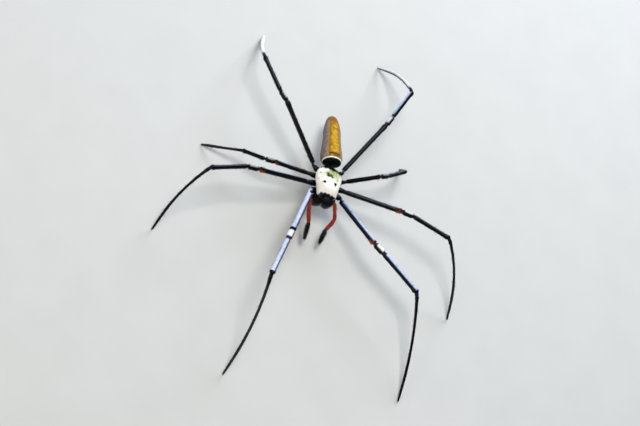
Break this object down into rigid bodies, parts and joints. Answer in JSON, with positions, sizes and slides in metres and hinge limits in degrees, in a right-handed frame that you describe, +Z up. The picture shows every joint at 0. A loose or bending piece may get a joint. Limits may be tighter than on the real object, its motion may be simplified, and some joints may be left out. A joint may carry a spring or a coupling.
{
  "type": "golden silk orb weaver",
  "caption": "Still, life-size female golden silk orb weaver spider, standing on the tips of her long black legs, with a white coated carapace and a long golden abdomen.",
  "frame": {"origin": "on the floor under the middle of the span of the legs, at the bottom centre of the bounding box", "axes": "+Z up from the floor, -Y towards the head, so +X is the animal's left"},
  "size_m": [0.1282, 0.1494, 0.0279],
  "materials": {
    "white_coat": "short creamy white hair lying flat over a dark shield",
    "banded_skin": "taut satin skin, golden along the back, grey brown on the flanks",
    "dark_skin": "dark brown, slightly glossy",
    "red_cuticle": "brick red, satin",
    "black_cuticle": "glossy black with a bluish sheen"
  },
  "bodies": {
    "root": {"carapace": "white_coat", "sternum": "dark_skin", "abdomen": "banded_skin", "spinnerets": "dark_skin", "pedicel": "dark_skin", "chelicera_left": "black_cuticle", "fang_left": "black_cuticle", "maxilla_left": "dark_skin", "palp_left_femur": "red_cuticle", "palp_left_tibia": "red_cuticle", "palp_left_tarsus": "black_cuticle", "leg_left_1_coxa": "black_cuticle", "leg_left_1_femur": "black_cuticle", "leg_left_1_patella": "black_cuticle", "leg_left_1_tibia": "black_cuticle", "leg_left_1_foot": "black_cuticle", "leg_left_2_coxa": "black_cuticle", "leg_left_2_femur": "black_cuticle", "leg_left_2_patella": "black_cuticle", "leg_left_2_tibia": "black_cuticle", "leg_left_2_foot": "black_cuticle", "leg_left_3_coxa": "black_cuticle", "leg_left_3_femur": "black_cuticle", "leg_left_3_patella": "black_cuticle", "leg_left_3_tibia": "black_cuticle", "leg_left_3_foot": "black_cuticle", "leg_left_4_coxa": "black_cuticle", "leg_left_4_femur": "black_cuticle", "leg_left_4_patella": "black_cuticle", "leg_left_4_tibia": "black_cuticle", "leg_left_4_foot": "black_cuticle", "chelicera_right": "black_cuticle", "fang_right": "black_cuticle", "maxilla_right": "dark_skin", "palp_right_femur": "red_cuticle", "palp_right_tibia": "red_cuticle", "palp_right_tarsus": "black_cuticle", "leg_right_1_coxa": "black_cuticle", "leg_right_1_femur": "black_cuticle", "leg_right_1_patella": "black_cuticle", "leg_right_1_tibia": "black_cuticle", "leg_right_1_foot": "black_cuticle", "leg_right_2_coxa": "black_cuticle", "leg_right_2_femur": "black_cuticle", "leg_right_2_patella": "black_cuticle", "leg_right_2_tibia": "black_cuticle", "leg_right_2_foot": "black_cuticle", "leg_right_3_coxa": "black_cuticle", "leg_right_3_femur": "black_cuticle", "leg_right_3_patella": "black_cuticle", "leg_right_3_tibia": "black_cuticle", "leg_right_3_foot": "black_cuticle", "leg_right_4_coxa": "black_cuticle", "leg_right_4_femur": "black_cuticle", "leg_right_4_patella": "black_cuticle", "leg_right_4_tibia": "black_cuticle", "leg_right_4_foot": "black_cuticle"}
  },
  "joints": []
}
